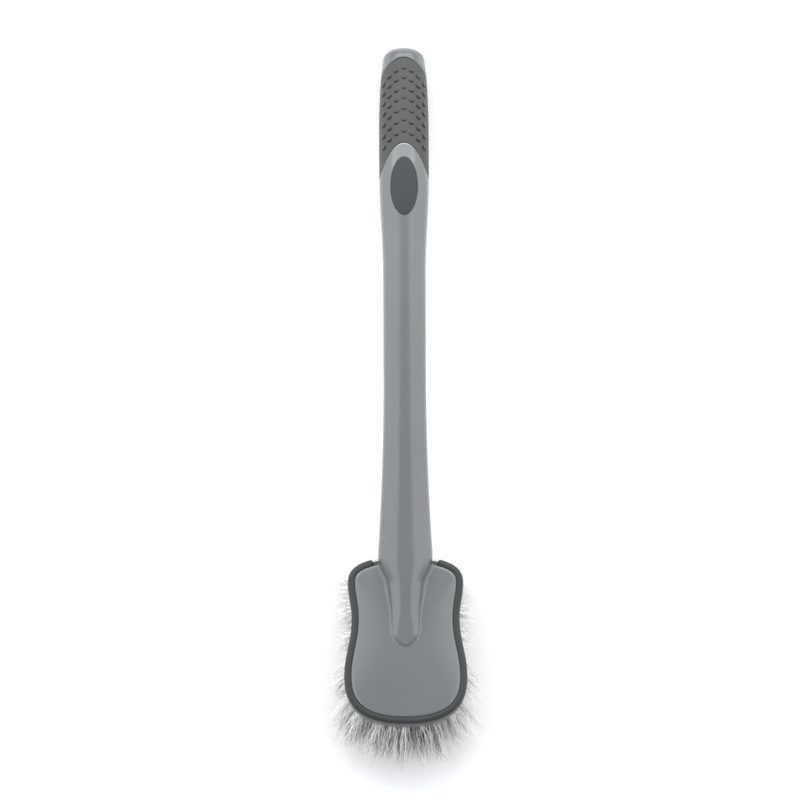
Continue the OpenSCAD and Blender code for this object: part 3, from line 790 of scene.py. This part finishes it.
@dataclass
class HandleShell:
    """One half of the hollow handle, which carries the sleeve's seat; the upper half has a painted highlight
    along its bevel before the sleeve.
    """

    upper: bool
    front_y: float = 122.0
    wall: float = 2.6
    edge: float = 0.28
    part_edge: float = 0.22
    neck_rows: int = 110

    def _rows(self) -> list[tuple[Callable[[np.ndarray], np.ndarray], float]]:
        """Rows along the shell: a place for each turn, and how far the surface is grown there."""
        def neck(share: float, back: float) -> Callable[[np.ndarray], np.ndarray]:
            """A place between the front and the sleeve's near edge."""
            return lambda t: self.front_y + (SLEEVE.y(t, 0) - back - self.front_y) * share

        def grip(share: float, on: float) -> Callable[[np.ndarray], np.ndarray]:
            """A place between the sleeve's edges, moved on a little."""
            return lambda t: SLEEVE.y(t, share) + on

        def tail(share: float) -> Callable[[np.ndarray], np.ndarray]:
            """A place between the sleeve's far edge and the handle's end."""
            return lambda t: (SLEEVE.y(t, 1) + 0.8) * (1 - share) + HANDLE.round_y * share

        rows = [(neck(s, 0.9), 0.0) for s in np.linspace(0, 1, self.neck_rows)]
        rows += [(neck(1, 0.75), -0.02), (neck(1, 0.6), -0.06),
                 (neck(1, 0.45), -0.12), (neck(1, 0.25), -0.25),
                 (neck(1, 0.1), -0.45), (neck(1, 0.08), -2.1)]
        rows += [(grip(s, 0.0), -2.3) for s in np.linspace(0.02, 0.98, 12)]
        rows += [(grip(1, 0.08), -2.1), (grip(1, 0.1), -0.42), (grip(1, 0.25), -0.16), (grip(1, 0.5), -0.04)]
        rows += [(tail(s), 0.0) for s in np.linspace(0, 1, 6)]
        ends = HANDLE.round_y + HANDLE.end_round * np.sin(np.radians(np.linspace(4, 90, 22)))
        rows += [((lambda t, y=y: np.full_like(t, y)), 0.0) for y in ends]
        return rows

    def build(self, material: bpy.types.Material) -> bpy.types.Object:
        """Builds the shell as a closed wall."""
        bend = np.concatenate([[0, 1.2, 2.6, 4.2], np.linspace(6.5, 90, 24)])
        outside = np.concatenate([bend, 180 - bend[-2::-1]])
        inside = np.linspace(180, 0, 13)
        side = 1 if self.upper else -1
        rolled = self.part_edge * np.clip(1 - np.minimum(outside, 180 - outside) / 4.2, 0, 1) ** 1.6
        rows, edges = [], []
        for k, (place, grow) in enumerate(self._rows()):
            out = HANDLE.point(place(side * outside), side * outside, grow - rolled)
            deep = HANDLE.point(place(side * inside), side * inside, grow - self.wall)
            rows.append(np.concatenate([out, deep, out[:1]]))
            # Painted highlight: the four bevel rows just before the sleeve are marked for the pale line.
            on_painted_highlight = self.upper and self.neck_rows <= k < self.neck_rows + 4
            edges.append(np.full(len(rows[-1]), float(on_painted_highlight)))
        # The marks go to the mesh as the attribute from which the grey plastic paints its highlight.
        bm = grid_bmesh(np.array(rows), ("edge", np.array(edges)))
        bmesh.ops.holes_fill(bm, edges=[e for e in bm.edges if e.is_boundary], sides=0)
        bmesh.ops.recalc_face_normals(bm, faces=bm.faces)
        lay_down(bm)
        name, node = (("upper_handle_shell", "front_shell") if self.upper
                      else ("lower_handle_shell", "back_shell"))
        return finish_piece(name, bm, material, (node,), sharp=42.0)


@dataclass
class GripSleeve:
    """The soft sleeve with its rows of raised scales."""

    columns_x: tuple[float, ...] = (0.0, 5.2, 9.9, 13.7)
    droops: tuple[float, ...] = (0.0, 2.2, 6.2, 11.6)
    row_ys: tuple[float, ...] = (235.9, 229.1, 222.0, 215.0, 207.2, 199.2, 191.3)
    turn_in: tuple[float, ...] = (0.0, 0.35, 0.75, 1.15)
    scale_r: float = 2.05
    scale_h: float = 0.8
    groove: float = 0.45
    rows: int = 190

    def _centres(self) -> list[tuple[np.ndarray, np.ndarray, np.ndarray]]:
        """Each scale's steep edge: its middle, the way that it faces and the way along it."""
        found = []
        for column, (x, droop, turn_in) in enumerate(zip(self.columns_x, self.droops, self.turn_in)):
            for row_y in self.row_ys:
                low, high = 380.0, 470.0
                for _ in range(30):
                    mid = (low + high) / 2
                    high, low = (high, mid) if POSE.laid(
                        HANDLE.over(np.array(x), np.array(mid), 0))[1] * 1000 < row_y - droop else (mid, low)
                for side in ((1,) if column == 0 else (1, -1)):
                    here = HANDLE.over(np.array(side * x), np.array(mid), 0)
                    on = HANDLE.over(np.array(side * x), np.array(mid - 0.5), 0) - here
                    round_it = HANDLE.over(np.array(side * (x - 0.4)), np.array(mid), 0) - here
                    on, round_it = on / np.linalg.norm(on), round_it / np.linalg.norm(round_it)
                    facing = on + turn_in * round_it
                    facing = facing / np.linalg.norm(facing)
                    up = np.cross(on, round_it)
                    found.append((here, facing, np.cross(up / np.linalg.norm(up), facing)))
        return found

    def _scaled(self, flat: np.ndarray) -> tuple[np.ndarray, np.ndarray]:
        """The relief of the scales on the sleeve's plain surface.

        Args:
            flat: Points of the plain surface, rows by columns by three.

        Returns:
            How far each point is raised, and the mask of the groove before each scale's steep edge, from 0
            to 1, which both carves that groove and paints shade in it.
        """
        height, deep = np.zeros(flat.shape[:-1]), np.zeros(flat.shape[:-1])
        for here, facing, beside in self._centres():
            outer = min(abs(here[0]) / self.columns_x[-2], 1)
            off = flat - (here - facing * self.scale_r)
            ahead, across = off @ facing / self.scale_r, off @ beside / self.scale_r
            near = np.linalg.norm(off, axis=-1) / self.scale_r < 1.9
            out = np.hypot(ahead, across)
            ramp = np.clip((ahead + 1.0) / 2.0, 0, 1) ** 1.3
            height = np.maximum(height, self.scale_h * ramp * (1 - ease((out - 0.84) / 0.18)) * near)
            front = ease((ahead / np.maximum(out, 0.1) - 0.5) / 0.32)
            # The groove before each scale's steep edge is carved and also painted dark as shade, more so on
            # the outer columns.
            groove_and_painted_shade = ease((out - 0.84) / 0.14) * (1 - ease((out - 1.08 - 0.14 * outer) / 0.3)) * front * near
            deep = np.maximum(deep, groove_and_painted_shade * (0.7 + 0.3 * outer))
        return height - self.groove * deep, deep

    def build(self, material: bpy.types.Material) -> bpy.types.Object:
        """Builds the sleeve as a closed ring of rubber."""
        top = np.linspace(22, 158, 118)
        rest = np.linspace(158, 382, 62)[1:]
        turns = np.concatenate([top, rest])
        turns[-1] = 382.0
        edge = [(0.0, -SLEEVE.thick), (0.0, -0.55), (0.15, -0.3), (0.35, -0.14), (0.6, -0.04)]
        rows = [(0.0, on, grow) for on, grow in edge]
        rows += [(s, (0.9 if s < 0.5 else -0.9) * abs(1 - 2 * s) ** 3, 0.0)
                 for s in np.linspace(0, 1, self.rows)]
        rows += [(1.0, -on, grow) for on, grow in reversed(edge)]
        outer = np.array([HANDLE.point(SLEEVE.y(turns, s) + on, turns, grow) for s, on, grow in rows])
        lift, deep = self._scaled(outer)
        on_top = np.array([grow for _, _, grow in rows]) == 0
        lift[~on_top], deep[~on_top] = 0, 0
        # Painted shade: the rows that turn down into the groove at the sleeve's far edge are painted
        # near-black.
        deep[-len(edge):] = 0.85
        places = np.array([HANDLE.point(SLEEVE.y(turns, s) + on, turns, grow + lift[k])
                           for k, (s, on, grow) in enumerate(rows)])
        places[:, -1] = places[:, 0]
        places = np.concatenate([places, places[:1]])
        # The mask goes to the mesh as the attribute from which the grip rubber paints its shade.
        bm = grid_bmesh(places, ("painted_groove_shade", np.concatenate([deep, deep[:1]])))
        lay_down(bm)
        return finish_piece("soft_grip_sleeve", bm, material, ("grip_sleeve",), sharp=60.0)


@dataclass
class ThumbPad:
    """The oval pad on the tongue above the sleeve."""

    width: float = 19.4
    length: float = 40.2
    middle: float = HANDLE.end_y - 102.4
    proud: float = 0.4

    def build(self, material: bpy.types.Material) -> bpy.types.Object:
        """Builds the pad with a softly rounded edge."""
        shape = [(0.0, 1.0), (0.2, 1.0), (0.4, 1.0), (0.6, 1.0), (0.78, 1.0), (0.9, 0.98), (0.95, 0.9),
                 (0.98, 0.72), (0.995, 0.4), (1.0, 0.0), (1.0, -1.4), (0.5, -1.6), (0.0, -1.6)]
        a = np.linspace(0, 2 * math.pi, 97)
        rows = [HANDLE.over(self.width / 2 * s * np.cos(a), self.middle + self.length / 2 * s * np.sin(a),
                            self.proud * g) for s, g in shape]
        bm = grid_bmesh(np.array(rows))
        lay_down(bm)
        return finish_piece("oval_thumb_pad", bm, material, ("thumb_pad",), sharp=60.0)


@dataclass
class HeadBumper:
    """The soft bumper round the head, open at the rear where the handle leaves."""

    wide: float = 4.8
    high: float = 10.6
    gap: float = 22.5
    seat_z: float = 44.0
    steps: int = 40

    def _section(self) -> list[tuple[float, float]]:
        """The section: distance inside the outline, and height, as a closed loop."""
        top = [(2.5 * (1 - math.cos(a)), self.high - 2.5 * (1 - math.sin(a)))
               for a in np.radians(np.linspace(0, 90, 8))]
        return [(self.wide, 0.0), (2.0, 0.0), (0.6, 0.05), (0.15, 0.4), (0.0, 1.0), (0.0, 4.5), *top,
                (3.6, self.high - 0.02), (4.4, self.high - 0.12), (self.wide, self.high - 0.5),
                (self.wide, self.high / 2), (self.wide, 0.0)]

    def build(self, material: bpy.types.Material) -> bpy.types.Object:
        """Builds the bumper by carrying its section round the head's outline."""
        section = self._section()
        lanes = [OUTLINE.half(d, self.steps) for d, _ in section]
        used = [k for k in range(len(lanes[0])) if k < 3 * self.steps or lanes[0][k][0] > self.gap]
        right = np.array([[(lane[k][0], lane[k][1], self.seat_z + h) for lane, (_, h) in zip(lanes, section)]
                          for k in used])
        last = right[-1]
        middle = last[:-1].mean(0)
        ahead = right[-1] - right[-2]
        ahead = ahead[: len(section)].mean(0)
        ahead = ahead / np.linalg.norm(ahead)
        rounds = [middle + (last - middle) * math.cos(a) + ahead * 1.6 * math.sin(a)
                  for a in np.radians((25, 50, 70, 90))]
        right = np.concatenate([right, np.array(rounds)])
        left = right[:0:-1] * (-1, 1, 1)
        bm = grid_bmesh(np.concatenate([left, right]))
        lay_down(bm)
        return finish_piece("soft_head_bumper", bm, material,
                            ("head_bumper",), sharp=60.0)


# ------------------------------------------------------------------ bristles


@dataclass
class BristleRow:
    """One row of tufts: a bundle of thin crimped filaments for each hole of the block."""

    number: int
    mouths: list[tuple[float, float]]
    block_z: float = 34.0
    hole_r: float = 1.9
    tip_r: float = 5.0
    first_y: float = 8.6
    splay_across: float = 1.42
    splay_along: float = 1.32
    front_lead: float = 24.0
    strands: int = 116
    thick: float = 0.205
    rings: int = 11

    def _strand(self) -> bpy.types.Mesh:
        """One straight filament of unit length along z, three-sided, with a closed tip."""
        bm = bmesh.new()
        made = bmesh.ops.create_circle(bm, segments=3, radius=1.0)
        edges = list({e for v in made["verts"] for e in v.link_edges})
        for _ in range(self.rings - 1):
            grown = bmesh.ops.extrude_edge_only(bm, edges=edges)["geom"]
            bmesh.ops.translate(bm, verts=[g for g in grown if isinstance(g, bmesh.types.BMVert)],
                                vec=(0, 0, 1 / (self.rings - 1)))
            edges = [g for g in grown if isinstance(g, bmesh.types.BMEdge)]
        bmesh.ops.contextual_create(bm, geom=edges)
        bmesh.ops.recalc_face_normals(bm, faces=bm.faces)
        mesh = bpy.data.meshes.new("strand")
        bm.to_mesh(mesh)
        bm.free()
        return mesh

    def build(self, material: bpy.types.Material) -> bpy.types.Object:
        """Builds the row's filaments, each with its own bend, crimp and grey, the outer tufts' greys lifted
        paler as painted light.
        """
        rng = np.random.default_rng(7100 + self.number)
        strand = self._strand()
        unit = np.zeros(len(strand.vertices) * 3)
        strand.vertices.foreach_get("co", unit)
        unit = unit.reshape(-1, 3)
        s = unit[:, 2]
        places, greys_with_painted_light, reaches = [], [], []
        for x, y in self.mouths:
            root_mid = np.array([x, y, self.block_z])
            tip_mid = np.array([x * self.splay_across,
                                self.first_y - self.front_lead + (y - self.first_y) * self.splay_along, 0.0])
            # How far out the tuft lies, which sets how much painted light its filaments get.
            edge = min(abs(x) / 30, 1)
            for _ in range(round(self.strands * (1.6 if x < -24 else 1.0))):
                a, r = rng.uniform(0, 2 * math.pi), math.sqrt(rng.uniform(0, 1))
                spot = np.array([math.cos(a), math.sin(a), 0]) * r
                root = root_mid + spot * self.hole_r
                stray = rng.normal(0, 3.6, 3) + (rng.random() < 0.05) * rng.normal(0, 4.5, 3)
                short = rng.uniform(0.0, 0.09) + (rng.random() < 0.12) * rng.uniform(0, 0.25)
                tip = tip_mid + spot * self.tip_r + stray * (1, 1, 0)
                tip = root + (tip - root) * (1 - short)
                bow = rng.normal(0, 2.6, 3)
                crimp_a, crimp_p = rng.uniform(0.25, 0.65), rng.uniform(0, 2 * math.pi)
                waves = rng.uniform(3.6, 5.6)
                way = tip - root
                way = way / np.linalg.norm(way)
                side = np.cross(way, (0, 0, 1.0))
                side = side / max(np.linalg.norm(side), 1e-6)
                other = np.cross(way, side)
                spine = root + np.outer(s, tip - root) + np.outer(4 * s * (1 - s), bow)
                wave = crimp_a * np.sin(2 * math.pi * waves * s + crimp_p) * np.minimum(4 * s, 1)
                wave2 = crimp_a * np.sin(2 * math.pi * waves * 0.7 * s + 2 * crimp_p) * np.minimum(4 * s, 1)
                size = self.thick * rng.uniform(0.75, 1.25) * (1 - 0.55 * s**3)
                point = (spine + np.outer(wave + unit[:, 0] * size, side)
                         + np.outer(wave2 + unit[:, 1] * size, other))
                point[:, 2] = np.maximum(point[:, 2], 0.15)
                places.append(point)
                # Painted light: a random grey for each filament, lifted paler towards the outer tufts, which
                # lie in the head's shadow.
                greys_with_painted_light.append(np.full(len(s), np.clip(rng.beta(0.4, 0.33) + 0.35 * edge**2, 0, 1)))
                reaches.append(s)
        bm = bmesh.new()
        for _ in places:
            bm.from_mesh(strand)
        bpy.data.meshes.remove(strand)
        laid = POSE.laid(np.concatenate(places))
        laid[:, 2] = np.maximum(laid[:, 2], 0.0002)
        for v, p in zip(bm.verts, laid):
            v.co = p
        piece = finish_piece(f"filaments_row_{self.number:02d}", bm, material,
                             (f"bristle_row_{self.number:02d}",), sharp=80.0)
        for key, values in (("shade", greys_with_painted_light), ("reach", reaches)):
            layer = piece.data.attributes.new(key, "FLOAT", "POINT")
            layer.data.foreach_set("value", np.concatenate(values).astype(np.float32))
        return piece


@dataclass
class BristleField:
    """All the rows of tufts under the head."""

    row_count: int = 13
    pitch: float = 8.2
    margin: float = 8.6

    def rows(self) -> list[BristleRow]:
        """The rows with the mouths of their holes."""
        made = []
        lane, edge = OUTLINE.half(self.margin, 9), OUTLINE.half(0, 9)
        for i in range(1, self.row_count + 1):
            y = self.margin + (OUTLINE.length - 2 * self.margin) * (i - 1) / (self.row_count - 1)
            room = max(np.interp(y, lane[:, 1], lane[:, 0]), np.interp(y, edge[:, 1], edge[:, 0]) * 0.55)
            most = math.floor(2 * room / self.pitch) + 1
            most -= most % 2 != i % 2
            made.append(BristleRow(i, [((k - (most - 1) / 2) * self.pitch, y) for k in range(most)]))
        return made


# ------------------------------------------------------------------ studio


@dataclass
class Studio:
    """A plain pale floor, soft lights and the camera, straight above."""

    view_width: float = 0.56
    centre: tuple[float, float] = (-0.0034, 0.0037)
    lens: float = 700.0
    eye_level: float = 0.05
    roll: float = math.radians(-0.2)

    def _lamp(self, name: str, place: tuple[float, float, float], size: tuple[float, float],
              power: float) -> None:
        """An area lamp aimed at the brush."""
        data = bpy.data.lights.new(name, "AREA")
        data.shape, data.size, data.size_y, data.energy = "RECTANGLE", size[0], size[1], power
        lamp = bpy.data.objects.new(name, data)
        lamp.location = place
        lamp.rotation_euler = (Vector((0, 0, 0.05)) - Vector(place)).to_track_quat("-Z", "Y").to_euler()
        bpy.context.scene.collection.objects.link(lamp)

    def build(self, groups: ShaderGroups) -> None:
        """Sets up the floor, the lights, the world and the camera."""
        scene = bpy.context.scene
        bm = bmesh.new()
        bmesh.ops.create_grid(bm, x_segments=8, y_segments=8, size=5.0)
        mesh = bpy.data.meshes.new("floor")
        bm.to_mesh(mesh)
        bm.free()
        mesh.materials.append(FLOOR_PAPER.build(groups))
        floor = bpy.data.objects.new("floor", mesh)
        scene.collection.objects.link(floor)
        self._lamp("key_soft", (-0.1, 1.5, 1.3), (2.7, 1.6), 36)
        self._lamp("left_soft", (-1.42, 0.35, 1.11), (2.08, 3.0), 26)
        self._lamp("right_soft", (1.42, 0.35, 1.11), (2.08, 3.0), 26)
        world = bpy.data.worlds.new("studio_world")
        world.use_nodes = True
        world.node_tree.nodes["Background"].inputs["Color"].default_value = (0.95, 0.97, 1.0, 1)
        world.node_tree.nodes["Background"].inputs["Strength"].default_value = 0.58
        scene.world = world
        scene.view_settings.view_transform = "Standard"
        data = bpy.data.cameras.new("camera")
        data.lens, data.sensor_width = self.lens, 36.0
        data.clip_end = 50.0
        camera = bpy.data.objects.new("camera", data)
        camera.location = (*self.centre, self.eye_level + self.view_width * self.lens / 36.0)
        camera.rotation_euler = (0, 0, self.roll)
        scene.collection.objects.link(camera)
        scene.camera = camera


# ------------------------------------------------------------------ building


def dress_node(node: bpy.types.Object, material: bpy.types.Material) -> None:
    """Gives a CAD node that stays its own material."""
    node.data.materials.clear()
    node.data.materials.append(material)
    LOG.info("%s keeps its CAD shape", node.name)


def main() -> None:
    """Builds every sub-assembly in order and reports each piece."""
    logging.basicConfig(level=logging.INFO, format="%(message)s")
    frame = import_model()
    groups = ShaderGroups()
    Studio().build(groups)
    grey = GREY_PLASTIC.build(groups)
    HeadMoulding().build(grey)
    HandleShell(upper=True).build(grey)
    HandleShell(upper=False).build(grey)
    GripSleeve().build(GRIP_RUBBER.build(groups))
    ThumbPad().build(PAD_RUBBER.build(groups))
    HeadBumper().build(BUMPER_RUBBER.build(groups))
    bristle = BristleFinish().build()
    for row in BristleField().rows():
        row.build(bristle)
    dress_node(frame["nodes"]["bristle_block"], BLOCK_PLASTIC.build(groups))
    dress_node(frame["nodes"]["tuft_anchors"], ANCHOR_WIRE.build(groups))
    bpy.context.view_layer.update()


if __name__ == "__main__":
    main()
